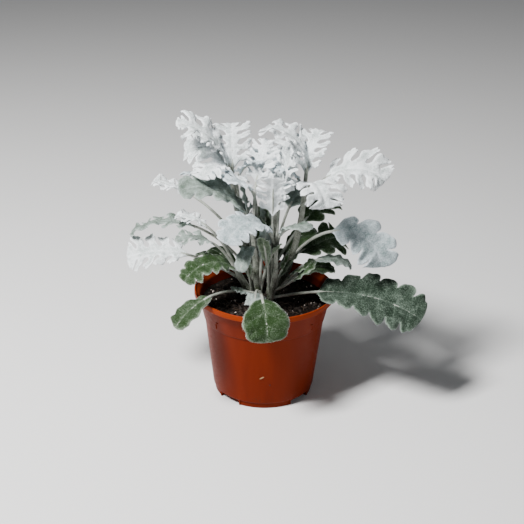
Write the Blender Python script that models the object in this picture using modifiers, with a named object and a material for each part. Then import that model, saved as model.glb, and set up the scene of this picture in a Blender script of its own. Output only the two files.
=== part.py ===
"""Dusty miller standing in a round plastic nursery pot.

Units are metres. The pot's floor stands on the ground at z = 0 with its axis on Z, and the
side that faces the viewer is -Y. The plant is six leafy stems that stand in plain holes in
the soil. Every stem is one solid with its leaves, and the leaves have their lobed edges.
"""

import math
from collections import namedtuple

import bmesh
import bpy
from mathutils import Vector

# Pot: a 12 cm nursery pot with a rolled lip, a flared collar and a low foot
POT_HEIGHT = 0.094
RIM_RADIUS = 0.060
LIP_HEIGHT = 0.0048
LIP_WIDTH = 0.0013
WALL = 0.0012
UNDER_LIP_RADIUS = 0.0562
COLLAR_RADIUS = 0.0518
COLLAR_Z = 0.0690
COLLAR_STEP = 0.0008
WAIST_RADIUS = 0.0484
WAIST_Z = 0.0450
WALL_FOOT_RADIUS = 0.0438
WALL_FOOT_Z = 0.0060
FOOT_RADIUS = 0.0423
FOOT_HEIGHT = 0.0050
POT_EDGE = 0.0005
POT_STEPS = 36

# Drainage: four raised channels that cross the foot, each with a hole into the pot
CHANNEL_COUNT = 4
CHANNEL_TURN = 47.5
CHANNEL_WIDTH = 0.0206
CHANNEL_HEIGHT = 0.0040
CHANNEL_START = 0.0140
DRAIN_RADIUS = 0.0035
DRAIN_PLACE = 0.0290

# Soil: fills the pot to 10 mm below the rim, with a gap to the wall
GAP = 0.0003
SOIL_Z = 0.0840
SOIL_STEPS = 30
SOIL_EDGE_DROP = 0.0010
SOIL_FLAT_RADIUS = 0.0150
SOIL_RING_RADII = (0.0, SOIL_FLAT_RADIUS, 0.026, 0.038, 0.048)
# The lumps on the soil are waves with these turns in radians a metre
SOIL_LUMP = 0.0012
SOIL_LUMP_TURNS = (410, 370, 190, 230)
SOIL_LUMP_SHIFT = 1.3

# Stems: they stand in blind holes on a ring round the pot's axis
STEM_RING = 0.0090
STEM_RADIUS = 0.0032
STEM_TOP_RADIUS = 0.0021
STEM_DEPTH = 0.0170
STEM_STRAIGHT = 0.0020
STEM_POINTS = 9

# Leaves: a keeled midrib with a thin blade on both sides
BLADE_THICKNESS = 0.0008
PETIOLE_HALF = 0.0015
PETIOLE_KEEL = 0.0019
MIDRIB_HALF = 0.0008
MIDRIB_KEEL = 0.0011
PETIOLE_SEGMENTS = 3
DROOP_POWER = 1.6
# Waves along a blade in radians a metre, and how much slower its second wave turns
RUFFLE_TURNS = 420
SLOW_RUFFLE = 0.43
# The part of a half sine that gives the blade's width, and the most that the first cut leaves
WIDTH_START = 0.06
WIDTH_SPAN = 0.88
FIRST_CUT = 0.5
LOBE_UNEVENNESS = 0.10
END_MIDDLE = 0.45

# Finishes: base colour and roughness of the plastic, the soil and the leaf felt
PLASTIC = ((0.30, 0.042, 0.009), 0.35)
PEAT = ((0.016, 0.011, 0.009), 0.95)
FELT = ((0.52, 0.58, 0.55), 0.90)

# Edges sharper than this angle stay hard, and points nearer than this distance are one
CREASE_ANGLE = 50
WELD_DISTANCE = 0.00001

Stem = namedtuple("Stem", "ring_angle lean lean_low lean_high length")
Leaf = namedtuple("Leaf", "kind up azimuth rise droop sweep stalk blade half roll")

# Angles are in degrees round Z from +X. A stem leans that far from upright at its foot and top.
STEMS = {
    "shoot_right": Stem(0, -5, 24, 2, 0.098),
    "shoot_back_right": Stem(60, 70, 14, 8, 0.070),
    "shoot_back_left": Stem(120, 172, 16, 14, 0.092),
    "shoot_left": Stem(180, 182, 45, 20, 0.028),
    "shoot_front_left": Stem(240, 215, 8, 4, 0.058),
    "shoot_front_right": Stem(300, 300, 22, 8, 0.034),
}

# A leaf starts that share up its stem, sets off at its rise above level and droops along its way
LEAVES = {
    "shoot_right": [
        Leaf("spoon", 0.05, 14, 47, 76, 0, 0.024, 0.034, 0.0110, 10),
        Leaf("spoon", 0.12, 7, 50, 94, -5, 0.038, 0.033, 0.0090, 5),
        Leaf("broad", 0.42, 350, 51, 138, -16, 0.044, 0.056, 0.0190, 50),
        Leaf("lobed", 0.90, 354, 61, 110, -5, 0.029, 0.054, 0.0220, 35),
        Leaf("lobed", 0.90, 285, 70, 150, 10, 0.024, 0.042, 0.0190, 0),
        Leaf("feather", 1.00, 162, 101, 132, 0, 0.023, 0.056, 0.0200, 0),
        Leaf("feather", 1.00, 60, 88, 60, 0, 0.018, 0.038, 0.0150, 0),
    ],
    "shoot_back_right": [
        Leaf("spoon", 0.08, 85, 28, 70, 0, 0.036, 0.040, 0.0130, 0),
        Leaf("broad", 0.30, 25, 24, 30, 12, 0.030, 0.044, 0.0190, 30),
        Leaf("wavy", 0.08, 66, 74, 112, 0, 0.074, 0.058, 0.0190, 0),
        Leaf("broad", 0.30, 40, 48, 44, 14, 0.052, 0.040, 0.0170, 20),
        Leaf("lobed", 0.85, 95, 76, 110, 0, 0.034, 0.058, 0.0200, 0),
        Leaf("feather", 1.00, 60, 92, 70, 0, 0.022, 0.050, 0.0170, 0),
    ],
    "shoot_back_left": [
        Leaf("lobed", 0.15, 174, 54, 98, -2, 0.071, 0.059, 0.0120, 0),
        Leaf("spoon", 0.10, 135, 30, 70, 0, 0.036, 0.040, 0.0130, 0),
        Leaf("lobed", 0.40, 171, 55, 52, -4, 0.072, 0.033, 0.0130, 0),
        Leaf("lobed", 0.12, 128, 78, 108, 0, 0.080, 0.058, 0.0200, 0),
        Leaf("lobed", 0.80, 228, 97, 144, -2, 0.050, 0.030, 0.0150, 0),
        Leaf("broad", 0.90, 179, 94, 137, -18, 0.036, 0.043, 0.0190, -30),
        Leaf("feather", 0.95, 183, 86, 84, 5, 0.030, 0.058, 0.0220, -15),
        Leaf("feather", 1.00, 95, 88, 80, 0, 0.022, 0.044, 0.0160, 0),
    ],
    "shoot_left": [
        Leaf("spoon", 0.12, 230, 27, 80, -13, 0.052, 0.040, 0.0120, 0),
        Leaf("wavy", 0.35, 228, 66, 130, -28, 0.028, 0.053, 0.0130, -25),
        Leaf("lobed", 0.70, 177, 32, 60, 1, 0.051, 0.052, 0.0190, -30),
        Leaf("lobed", 0.90, 192, 66, 87, 5, 0.037, 0.034, 0.0120, 0),
        Leaf("lobed", 1.00, 162, 67, 73, 2, 0.047, 0.028, 0.0110, 0),
    ],
    "shoot_front_left": [
        Leaf("spoon", 0.08, 271, 39, 128, 12, 0.046, 0.040, 0.0190, 0),
        Leaf("spoon", 0.10, 200, 20, 0, 0, 0.009, 0.016, 0.0060, 0),
        Leaf("spoon", 0.30, 262, 92, 165, -15, 0.046, 0.034, 0.0065, 0),
        Leaf("spoon", 0.40, 178, 84, 9, 0, 0.057, 0.030, 0.0090, 0),
        Leaf("broad", 0.60, 196, 90, 116, -10, 0.049, 0.062, 0.0195, -16),
        Leaf("lobed", 1.00, 224, 104, 110, 0, 0.047, 0.027, 0.0125, -10),
        Leaf("feather", 0.95, 60, 96, 50, 0, 0.052, 0.036, 0.0140, 0),
    ],
    "shoot_front_right": [
        Leaf("wavy", 0.08, 352, 16, 45, -13, 0.042, 0.090, 0.0245, 38),
        Leaf("spoon", 0.30, 332, 34, -20, 50, 0.023, 0.024, 0.0080, 0),
        Leaf("lobed", 0.20, 268, 86, 14, 0, 0.078, 0.034, 0.0140, 0),
        Leaf("spoon", 0.30, 306, 98, 105, 5, 0.059, 0.037, 0.0100, 0),
        Leaf("feather", 1.00, 20, 91, 19, 0, 0.058, 0.046, 0.0180, 0),
        Leaf("wavy", 0.90, 224, 92, 152, 2, 0.042, 0.055, 0.0150, -20),
    ],
}

# How a blade is cut: lobes on a side, depth of the cuts, how far the lobes lean forward, the
# outline of a lobe as (share along the midrib, share outwards), the share of the blade that the
# end lobe takes, and how far the blade folds up, curls down at its edge and ruffles
Cut = namedtuple("Cut", "lobes sinus lean outline widest fullness end fold curl ruffle")
ROUND_LOBE = ((0.22, 0.64), (0.10, 0.90), (0.42, 1.06), (0.74, 0.96), (0.78, 0.66))
WAVY_LOBE = ((0.20, 0.92), (0.52, 1.04), (0.84, 0.88))
TOOTHED_LOBE = ((0.26, 0.60), (0.06, 0.92), (0.44, 0.88), (0.74, 1.04), (0.76, 0.62))
SMOOTH_LOBE = ((0.33, 1.0), (0.67, 1.0))
CUTS = {
    "spoon": Cut(3, 0.96, 0.0, SMOOTH_LOBE, 0.60, 0.75, 0.24, 0.10, 0.30, 0.0006),
    "wavy": Cut(5, 0.66, 0.25, WAVY_LOBE, 0.50, 0.55, 0.20, 0.16, 0.40, 0.0014),
    "broad": Cut(3, 0.50, 0.35, WAVY_LOBE, 0.50, 0.50, 0.26, 0.18, 0.40, 0.0014),
    "lobed": Cut(4, 0.28, 0.45, ROUND_LOBE, 0.50, 0.45, 0.22, 0.22, 0.45, 0.0020),
    "feather": Cut(4, 0.22, 0.50, TOOTHED_LOBE, 0.48, 0.45, 0.20, 0.30, 0.55, 0.0020),
}
# The end lobe's outline on one side: (share along it, share of the blade's half width there)
END_OUTLINES = {
    "spoon": ((0.40, 0.96), (0.78, 0.66), (0.97, 0.24)),
    "wavy": ((0.35, 0.98), (0.72, 0.74), (0.97, 0.28)),
    "broad": ((0.22, 0.95), (0.55, 0.86), (0.86, 0.56), (0.97, 0.26)),
    "lobed": ((0.14, 0.78), (0.44, 0.84), (0.74, 0.62), (0.97, 0.24)),
    "feather": ((0.30, 0.58), (0.46, 0.40), (0.72, 0.52), (0.96, 0.22)),
}

OBJECT_NAME = "dusty_miller"


def clear_scene():
    for old in list(bpy.data.objects):
        bpy.data.objects.remove(old, do_unlink=True)


def new_collection(name):
    collection = bpy.data.collections.new(name)
    bpy.context.scene.collection.children.link(collection)
    return collection


def make_material(name, colour, roughness):
    material = bpy.data.materials.new(name)
    material.use_nodes = True
    shader = material.node_tree.nodes["Principled BSDF"]
    shader.inputs["Base Color"].default_value = (*colour, 1.0)
    shader.inputs["Roughness"].default_value = roughness
    return material


def add_mesh_object(name, mesh, collection, material=None):
    item = bpy.data.objects.new(name, mesh)
    collection.objects.link(item)
    if material:
        mesh.materials.append(material)
    return item


def as_cutter(item):
    item.hide_render = True
    item.display_type = "WIRE"


def turned(name, profile, steps, collection, material):
    """A body turned from a profile of (radius, height) that runs down its outer side."""
    mesh = bpy.data.meshes.new(name)
    points = [(radius, 0.0, height) for radius, height in profile]
    mesh.from_pydata(points, [(i, i + 1) for i in range(len(points) - 1)], [])
    item = add_mesh_object(name, mesh, collection, material)
    screw = item.modifiers.new("turn", "SCREW")
    screw.steps = steps
    screw.render_steps = steps
    screw.use_merge_vertices = True
    screw.merge_threshold = WELD_DISTANCE
    screw.use_smooth_shade = True
    return item


def add_boolean(item, collection, operation, solver="EXACT"):
    cut = item.modifiers.new(operation.lower(), "BOOLEAN")
    cut.operation = operation
    cut.solver = solver
    cut.operand_type = "COLLECTION"
    cut.collection = collection
    return cut


def block(name, size, place, turn, collection):
    """A box of the given size, its middle at a place that is turned round Z by an angle."""
    mesh = bpy.data.meshes.new(name)
    shape = bmesh.new()
    bmesh.ops.create_cube(shape, size=1.0)
    bmesh.ops.scale(shape, vec=size, verts=shape.verts)
    bmesh.ops.translate(shape, vec=place, verts=shape.verts)
    shape.to_mesh(mesh)
    shape.free()
    item = add_mesh_object(name, mesh, collection)
    item.rotation_euler.z = math.radians(turn)
    as_cutter(item)
    return item


def peg(name, radius, low, high, place, collection, sides=16):
    """An upright round peg for cutting a hole, between two heights at (x, y)."""
    mesh = bpy.data.meshes.new(name)
    shape = bmesh.new()
    bmesh.ops.create_cone(shape, cap_ends=True, segments=sides, radius1=radius, radius2=radius,
                          depth=high - low)
    shape.to_mesh(mesh)
    shape.free()
    item = add_mesh_object(name, mesh, collection)
    item.location = (place[0], place[1], (low + high) / 2)
    as_cutter(item)
    return item


def pot_outer_profile():
    lip_low = POT_HEIGHT - LIP_HEIGHT
    return [
        (RIM_RADIUS - POT_EDGE, POT_HEIGHT),
        (RIM_RADIUS, POT_HEIGHT - POT_EDGE),
        (RIM_RADIUS, lip_low),
        (UNDER_LIP_RADIUS, lip_low),
        (COLLAR_RADIUS, COLLAR_Z),
        (COLLAR_RADIUS - COLLAR_STEP, COLLAR_Z - POT_EDGE),
        (WAIST_RADIUS, WAIST_Z),
        (WALL_FOOT_RADIUS, WALL_FOOT_Z),
        (WALL_FOOT_RADIUS - POT_EDGE, FOOT_HEIGHT),
        (FOOT_RADIUS, FOOT_HEIGHT),
        (FOOT_RADIUS, POT_EDGE),
        (FOOT_RADIUS - POT_EDGE, 0.0),
        (0.0, 0.0),
    ]


def pot_inner_profile():
    """The inside from the floor's middle up to the rim."""
    return [
        (0.0, WALL),
        (FOOT_RADIUS - WALL, WALL),
        (FOOT_RADIUS - WALL, FOOT_HEIGHT),
        (WALL_FOOT_RADIUS - WALL, WALL_FOOT_Z + WALL),
        (WAIST_RADIUS - WALL, WAIST_Z),
        (COLLAR_RADIUS - COLLAR_STEP - WALL, COLLAR_Z),
        (UNDER_LIP_RADIUS - WALL, POT_HEIGHT - LIP_HEIGHT),
        (RIM_RADIUS - LIP_WIDTH, POT_HEIGHT - WALL),
        (RIM_RADIUS - LIP_WIDTH, POT_HEIGHT),
    ]


def build_pot(parts, material):
    pot = turned("pot", pot_inner_profile() + pot_outer_profile(), POT_STEPS, parts, material)
    ridges = new_collection("pot_ridges")
    channels = new_collection("pot_channels")
    reach = FOOT_RADIUS - WALL / 2
    ridge_low = WALL / 2
    ridge_high = CHANNEL_HEIGHT + WALL
    for number in range(CHANNEL_COUNT):
        turn = CHANNEL_TURN + number * 360 / CHANNEL_COUNT
        start = CHANNEL_START - WALL
        ridge_size = (reach - start, CHANNEL_WIDTH + 2 * WALL, ridge_high - ridge_low)
        ridge_place = ((reach + start) / 2, 0, (ridge_high + ridge_low) / 2)
        block(f"ridge_{number}", ridge_size, ridge_place, turn, ridges)
        channel_size = (RIM_RADIUS - CHANNEL_START, CHANNEL_WIDTH, 2 * CHANNEL_HEIGHT)
        channel_place = ((RIM_RADIUS + CHANNEL_START) / 2, 0, 0)
        block(f"channel_{number}", channel_size, channel_place, turn, channels)
        angle = math.radians(turn)
        place = (DRAIN_PLACE * math.cos(angle), DRAIN_PLACE * math.sin(angle))
        peg(f"drain_{number}", DRAIN_RADIUS, CHANNEL_HEIGHT / 2, 2 * ridge_high, place, channels)
    add_boolean(pot, ridges, "UNION")
    add_boolean(pot, channels, "DIFFERENCE")
    return pot


def inner_wall_radius(height):
    """Radius of the pot's inside at a height."""
    points = pot_inner_profile()[3:7]
    for (low_radius, low), (high_radius, high) in zip(points, points[1:]):
        if height <= high:
            share = (height - low) / (high - low)
            return low_radius + (high_radius - low_radius) * share
    return points[-1][0]


def stem_foot(stem):
    angle = math.radians(stem.ring_angle)
    return Vector((STEM_RING * math.cos(angle), STEM_RING * math.sin(angle), SOIL_Z))


def build_soil(parts, cutters, material):
    bottom = CHANNEL_HEIGHT + WALL + GAP
    heights = [SOIL_Z - SOIL_EDGE_DROP, COLLAR_Z, WAIST_Z, WALL_FOOT_Z + WALL]
    side = [(inner_wall_radius(height) - GAP, height) for height in heights]
    rings = [(radius, SOIL_Z) for radius in SOIL_RING_RADII]
    foot = (FOOT_RADIUS - WALL - GAP, bottom)
    soil = turned("soil", rings + side + [foot, (0.0, bottom)], SOIL_STEPS, parts, material)
    raise_lumps(soil)
    for name, stem in STEMS.items():
        foot_place = stem_foot(stem)
        low = SOIL_Z - STEM_DEPTH - GAP
        peg(f"{name}_hole", STEM_RADIUS + GAP, low, SOIL_Z + STEM_RADIUS, foot_place, cutters)
    add_boolean(soil, cutters, "DIFFERENCE")
    return soil


def raise_lumps(soil):
    """Turn the soil into a mesh, its top raised and sunk in small lumps outside the stems."""
    evaluated = soil.evaluated_get(bpy.context.evaluated_depsgraph_get())
    mesh = bpy.data.meshes.new_from_object(evaluated)
    soil.modifiers.clear()
    soil.data = mesh
    fine_x, fine_y, broad_x, broad_y = SOIL_LUMP_TURNS
    for vertex in mesh.vertices:
        x, y, z = vertex.co
        outside_flat = math.hypot(x, y) > (SOIL_RING_RADII[1] + SOIL_RING_RADII[2]) / 2
        if z > SOIL_Z - SOIL_EDGE_DROP / 2 and outside_flat:
            wave = math.sin(x * fine_x + SOIL_LUMP_SHIFT) * math.cos(y * fine_y)
            wave += math.sin(x * broad_x - y * broad_y)
            vertex.co.z += SOIL_LUMP * wave / 2


def stem_path(stem):
    """Points up a stem, from the bottom of its hole to its top."""
    foot = stem_foot(stem)
    points = [foot - Vector((0, 0, STEM_DEPTH)), foot + Vector((0, 0, STEM_STRAIGHT))]
    azimuth = math.radians(stem.lean)
    step = stem.length / STEM_POINTS
    for number in range(STEM_POINTS):
        share = (number + 0.5) / STEM_POINTS
        lean = math.radians(stem.lean_low + (stem.lean_high - stem.lean_low) * share)
        sideways = math.sin(lean)
        ahead = Vector((sideways * math.cos(azimuth), sideways * math.sin(azimuth), math.cos(lean)))
        points.append(points[-1] + ahead * step)
    return points


def stem_point(stem, up):
    """The point on a stem's axis at a share of its length above the soil."""
    points = stem_path(stem)[1:]
    place = min(up, 0.999) * (len(points) - 1)
    low = int(place)
    return points[low].lerp(points[low + 1], place - low)


def stem_mesh(name, stem):
    """A tapered round stem, as a closed mesh."""
    points = stem_path(stem)
    curve = bpy.data.curves.new(name + "_stem", "CURVE")
    curve.dimensions = "3D"
    curve.bevel_depth = STEM_RADIUS
    curve.bevel_resolution = 2
    curve.use_fill_caps = True
    spline = curve.splines.new("POLY")
    spline.points.add(len(points) - 1)
    for number, (point, place) in enumerate(zip(spline.points, points)):
        point.co = (*place, 1.0)
        share = max(0, number - 1) / (len(points) - 2)
        point.radius = 1 + (STEM_TOP_RADIUS / STEM_RADIUS - 1) * share
    item = bpy.data.objects.new(name + "_curve", curve)
    bpy.context.scene.collection.objects.link(item)
    evaluated = item.evaluated_get(bpy.context.evaluated_depsgraph_get())
    mesh = bpy.data.meshes.new_from_object(evaluated)
    bpy.data.objects.remove(item, do_unlink=True)
    shape = bmesh.new()
    shape.from_mesh(mesh)
    bmesh.ops.remove_doubles(shape, verts=shape.verts, dist=WELD_DISTANCE)
    bmesh.ops.recalc_face_normals(shape, faces=shape.faces)
    shape.to_mesh(mesh)
    shape.free()
    return mesh


class LeafSurface:
    """Maps a flat place on a leaf, (along, across, above), to its place on the plant."""

    SAMPLES = 48
    BEYOND = 1.15

    def __init__(self, root, leaf):
        self.leaf = leaf
        self.length = leaf.stalk + leaf.blade
        self.points = [Vector(root)]
        step = self.length * self.BEYOND / self.SAMPLES
        for number in range(self.SAMPLES):
            ahead = self.frame_at((number + 0.5) / self.SAMPLES * self.BEYOND)[0]
            self.points.append(self.points[-1] + ahead * step)

    def frame_at(self, share):
        """Ahead, left and up at a share of the leaf's length."""
        leaf = self.leaf
        rise = math.radians(leaf.rise - leaf.droop * share ** DROOP_POWER)
        azimuth = math.radians(leaf.azimuth + leaf.sweep * share)
        ahead = Vector((math.cos(rise) * math.cos(azimuth), math.cos(rise) * math.sin(azimuth),
                        math.sin(rise)))
        left = Vector((-math.sin(azimuth), math.cos(azimuth), 0))
        above = ahead.cross(left)
        roll = math.radians(leaf.roll) * share
        return ahead, left * math.cos(roll) + above * math.sin(roll), \
            above * math.cos(roll) - left * math.sin(roll)

    def place(self, along, across, above):
        share = along / self.length
        spot = min(max(share / self.BEYOND * self.SAMPLES, 0), self.SAMPLES - 0.001)
        low = int(spot)
        middle = self.points[low].lerp(self.points[low + 1], spot - low)
        _, left, up = self.frame_at(share)
        return middle + left * across + up * above


def uneven(*numbers):
    """A steady value from -1 to 1 that looks random, drawn from the given numbers."""
    value = math.sin(sum(number * scale for number, scale in zip(numbers, (12.9, 78.2, 37.7))))
    value *= 43758.5
    return 2 * (value - math.floor(value)) - 1


def half_width(cut, share):
    """Half width of a blade at a share of its length, as a share of its widest."""
    swell = math.log(0.5) / math.log(cut.widest)
    return math.sin(math.pi * (WIDTH_START + WIDTH_SPAN * share ** swell)) ** cut.fullness


class LeafMesh:
    """A closed leaf: a keeled midrib, and lobes of thin blade fanned from their middles."""

    def __init__(self, root, leaf, seed):
        self.leaf = leaf
        self.cut = CUTS[leaf.kind]
        self.seed = seed
        self.surface = LeafSurface(root, leaf)
        self.shape = bmesh.new()
        self.end_length = leaf.blade * self.cut.end
        self.rows = self.midrib_rows()
        self.build()

    def midrib_rows(self):
        """Stations along the leaf and the half width and keel of the midrib at each."""
        leaf, cut = self.leaf, self.cut
        body = leaf.blade - self.end_length
        stations = [leaf.stalk * i / PETIOLE_SEGMENTS for i in range(PETIOLE_SEGMENTS)]
        stations += [leaf.stalk + body * i / cut.lobes for i in range(cut.lobes + 1)]
        rows = []
        for along in stations:
            share = along / self.surface.length
            half = PETIOLE_HALF + (MIDRIB_HALF - PETIOLE_HALF) * share
            keel = PETIOLE_KEEL + (MIDRIB_KEEL - PETIOLE_KEEL) * share
            rows.append((along, half, keel))
        return rows

    def height(self, along, across):
        """How far the blade stands above its flat plane."""
        cut, half = self.cut, self.leaf.half
        out = abs(across) / half
        side = 1 if across > 0 else -1
        wave = math.sin(along * RUFFLE_TURNS + self.seed + side)
        wave += math.sin(along * RUFFLE_TURNS * SLOW_RUFFLE + 2 * self.seed - side) / 2
        return half * cut.fold * out * (1 - cut.curl * out) + cut.ruffle * out * wave

    def vertex_pair(self, along, across):
        """The upper and lower vertex of the blade at a flat place."""
        above = self.height(along, across)
        thick = BLADE_THICKNESS / 2
        return tuple(self.shape.verts.new(self.surface.place(along, across, above + offset))
                     for offset in (thick, -thick))

    def section(self, along, half, keel):
        """Five vertices round the midrib: upper left, upper right, lower right, keel, lower left."""
        thick = BLADE_THICKNESS / 2
        flat = ((half, thick), (-half, thick), (-half, -thick), (0, -keel), (half, -thick))
        return [self.shape.verts.new(self.surface.place(along, *place)) for place in flat]

    def face(self, *corners):
        self.shape.faces.new(corners)

    def fan(self, outline, middle, lower_extra=None):
        """Close a lobe: a fan above, the same fan below, and a wall round the free edge."""
        count = len(outline)
        for number in range(count):
            upper, lower = outline[number]
            next_upper, next_lower = outline[(number + 1) % count]
            self.face(upper, next_upper, middle[0])
            if number == count - 1 and lower_extra:
                self.face(lower, lower_extra, middle[1])
                self.face(lower_extra, next_lower, middle[1])
            else:
                self.face(lower, next_lower, middle[1])

    def wall(self, first, second):
        self.face(first[0], second[0], second[1])
        self.face(first[0], second[1], first[1])

    def lobe_point(self, number, side, along_share, out_share):
        """Flat place of a point in a lobe: shares along the midrib segment and outwards."""
        cut, leaf = self.cut, self.leaf
        start, half, _ = self.rows[PETIOLE_SEGMENTS + number]
        stop = self.rows[PETIOLE_SEGMENTS + number + 1][0]
        along = start + (stop - start) * along_share
        blade_share = (start + stop) / 2 if cut.lean else along
        blade_share = (blade_share - leaf.stalk) / leaf.blade
        width = (leaf.half - half) * half_width(cut, blade_share)
        width *= 1 + LOBE_UNEVENNESS * uneven(self.seed, number, side) * (cut.lean > 0)
        out = width * out_share
        return along + out * cut.lean, side * (half + out)

    def sinus_pair(self, number, side):
        """The vertex pair at the cut between two lobes."""
        cut, leaf = self.cut, self.leaf
        along, half, _ = self.rows[PETIOLE_SEGMENTS + number]
        width = (leaf.half - half) * half_width(cut, (along - leaf.stalk) / leaf.blade)
        out = width * (cut.sinus if number else min(cut.sinus, FIRST_CUT))
        return self.vertex_pair(along + out * cut.lean, side * (half + out))

    def build(self):
        cut = self.cut
        sections = [self.section(*row) for row in self.rows]
        self.face(*reversed(sections[0]))
        for number, (low, high) in enumerate(zip(sections, sections[1:])):
            self.face(low[0], low[1], high[1])
            self.face(low[0], high[1], high[0])
            for first, second in ((2, 3), (3, 4)):
                self.face(low[first], low[second], high[second])
                self.face(low[first], high[second], high[first])
            if number < PETIOLE_SEGMENTS:
                self.wall((low[0], low[4]), (high[0], high[4]))
                self.wall((low[1], low[2]), (high[1], high[2]))
        tips = {}
        for side, upper, lower in ((1, 0, 4), (-1, 1, 2)):
            joints = [(row[upper], row[lower]) for row in sections[PETIOLE_SEGMENTS:]]
            cuts = [self.sinus_pair(number, side) for number in range(cut.lobes + 1)]
            self.wall(joints[0], cuts[0])
            for number in range(cut.lobes):
                edge = [self.vertex_pair(*self.lobe_point(number, side, *spot))
                        for spot in cut.outline]
                rim = [cuts[number], *edge, cuts[number + 1]]
                for first, second in zip(rim, rim[1:]):
                    self.wall(first, second)
                middle = self.vertex_pair(*self.lobe_point(number, side, 0.5, 0.5))
                self.fan([joints[number], *rim, joints[number + 1]], middle)
            tips[side] = (joints[-1], cuts[-1])
        self.close_end(tips, sections[-1][3])
        bmesh.ops.recalc_face_normals(self.shape, faces=self.shape.faces)

    def close_end(self, tips, keel):
        """The end lobe, which closes the blade past the last station."""
        leaf, cut = self.leaf, self.cut
        along, half, _ = self.rows[-1]
        width = (leaf.half - half) * half_width(cut, (along - leaf.stalk) / leaf.blade)
        length = self.end_length
        edges = {1: [], -1: []}
        for far, out in END_OUTLINES[leaf.kind]:
            ahead = width * out * cut.lean
            ahead += (length - ahead) * far
            for side, edge in edges.items():
                edge.append(self.vertex_pair(along + ahead, side * (half + width * out)))
        (left_joint, left_cut), (right_joint, right_cut) = tips[1], tips[-1]
        rim = [left_cut, *edges[1], *reversed(edges[-1]), right_cut]
        for first, second in zip(rim, rim[1:]):
            self.wall(first, second)
        middle = self.vertex_pair(along + length * END_MIDDLE, 0)
        self.fan([left_joint, *rim, right_joint], middle, lower_extra=keel)

    def mesh(self, name):
        mesh = bpy.data.meshes.new(name)
        self.shape.to_mesh(mesh)
        self.shape.free()
        return mesh


def keep_main_body(mesh):
    """Fill sealed hollows and drop loose scraps: only the largest shell stays."""
    shape = bmesh.new()
    shape.from_mesh(mesh)
    waiting = set(shape.verts)
    shells = []
    while waiting:
        edge = [waiting.pop()]
        shell = set(edge)
        while edge:
            around = {other for link in edge.pop().link_edges for other in link.verts}
            fresh = around & waiting
            waiting -= fresh
            shell |= fresh
            edge.extend(fresh)
        shells.append(shell)
    shells.sort(key=len)
    for shell in shells[:-1]:
        bmesh.ops.delete(shape, geom=list(shell), context="VERTS")
    shape.to_mesh(mesh)
    shape.free()


def build_shoot(name, number, parts, material):
    """One leafy stem: the stem and its leaves joined into one solid."""
    stem = STEMS[name]
    shoot = add_mesh_object(name, stem_mesh(name, stem), parts, material)
    loose = new_collection(name + "_leaves")
    for place, leaf in enumerate(LEAVES[name]):
        root = stem_point(stem, leaf.up)
        mesh = LeafMesh(root, leaf, number * 10 + place).mesh(f"{name}_leaf_{place}")
        add_mesh_object(f"{name}_leaf_{place}", mesh, loose)
    join = add_boolean(shoot, loose, "UNION", "MANIFOLD")
    evaluated = shoot.evaluated_get(bpy.context.evaluated_depsgraph_get())
    joined = bpy.data.meshes.new_from_object(evaluated)
    shoot.modifiers.remove(join)
    keep_main_body(joined)
    shoot.data = joined
    for leaf_object in list(loose.objects):
        bpy.data.objects.remove(leaf_object, do_unlink=True)
    bpy.data.collections.remove(loose)
    shoot.data.shade_smooth()
    shoot.data.set_sharp_from_angle(angle=math.radians(CREASE_ANGLE))
    return shoot


def main():
    clear_scene()
    parts = new_collection(OBJECT_NAME)
    cutters = new_collection("stem_holes")
    build_pot(parts, make_material("moulded_pot", *PLASTIC))
    build_soil(parts, cutters, make_material("potting_soil", *PEAT))
    felt = make_material("felted_leaf", *FELT)
    for number, name in enumerate(STEMS):
        build_shoot(name, number, parts, felt)


main()
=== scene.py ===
"""The looks of a dusty miller in its nursery pot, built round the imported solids.

Metres throughout. The pot stands on z = 0, and the camera looks along +Y from the front.
"""

import math
import random
from collections import namedtuple

import bmesh
import bpy
import numpy as np
from mathutils import Matrix, Vector, noise
from mathutils.geometry import delaunay_2d_cdt


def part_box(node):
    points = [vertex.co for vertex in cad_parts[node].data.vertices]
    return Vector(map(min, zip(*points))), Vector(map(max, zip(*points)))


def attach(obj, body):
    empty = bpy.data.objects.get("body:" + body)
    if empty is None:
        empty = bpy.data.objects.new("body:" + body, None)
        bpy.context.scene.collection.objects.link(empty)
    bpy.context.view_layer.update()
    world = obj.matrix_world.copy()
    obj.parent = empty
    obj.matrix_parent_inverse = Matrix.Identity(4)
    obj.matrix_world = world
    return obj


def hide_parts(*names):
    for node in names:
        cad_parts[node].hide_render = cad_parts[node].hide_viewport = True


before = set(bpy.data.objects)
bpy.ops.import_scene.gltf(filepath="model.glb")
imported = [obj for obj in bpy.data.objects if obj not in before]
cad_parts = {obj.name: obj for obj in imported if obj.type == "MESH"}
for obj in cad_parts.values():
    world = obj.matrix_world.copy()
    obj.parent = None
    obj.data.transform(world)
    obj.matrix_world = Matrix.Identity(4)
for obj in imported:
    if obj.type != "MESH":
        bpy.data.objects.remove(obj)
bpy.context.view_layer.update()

# Viewpoint and studio.
# The camera stands 80 cm in front of the pot and a little above the plant, looking down on it.
# The floor is one pale sheet. A strong lamp hangs at the upper left and a weak one at the right.
CAMERA_PLACE = (-0.0027, -0.800, 0.471)
CAMERA_PITCH = 23.85
CAMERA_ROLL = 0.92
CAMERA_NEAR = 0.05
FOCAL_LENGTH = 71.3
SENSOR_WIDTH = 36.0
LAMP_AIM = (0.0, 0.0, 0.12)
STUDIO_TINT = (0.95, 0.97, 1.0, 1.0)
STUDIO_STRENGTH = 0.12
FLOOR_HALF = 4.0
FLOOR_GREY = (0.80, 0.80, 0.80)

Lamp = namedtuple("Lamp", "place width power colour")
LAMPS = {
    "key_lamp": Lamp((-0.62, -0.50, 1.20), 0.30, 50.0, (1.0, 0.99, 0.975)),
    "fill_lamp": Lamp((0.95, -0.75, 0.55), 0.90, 1.2, (0.93, 0.96, 1.0)),
}


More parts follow.
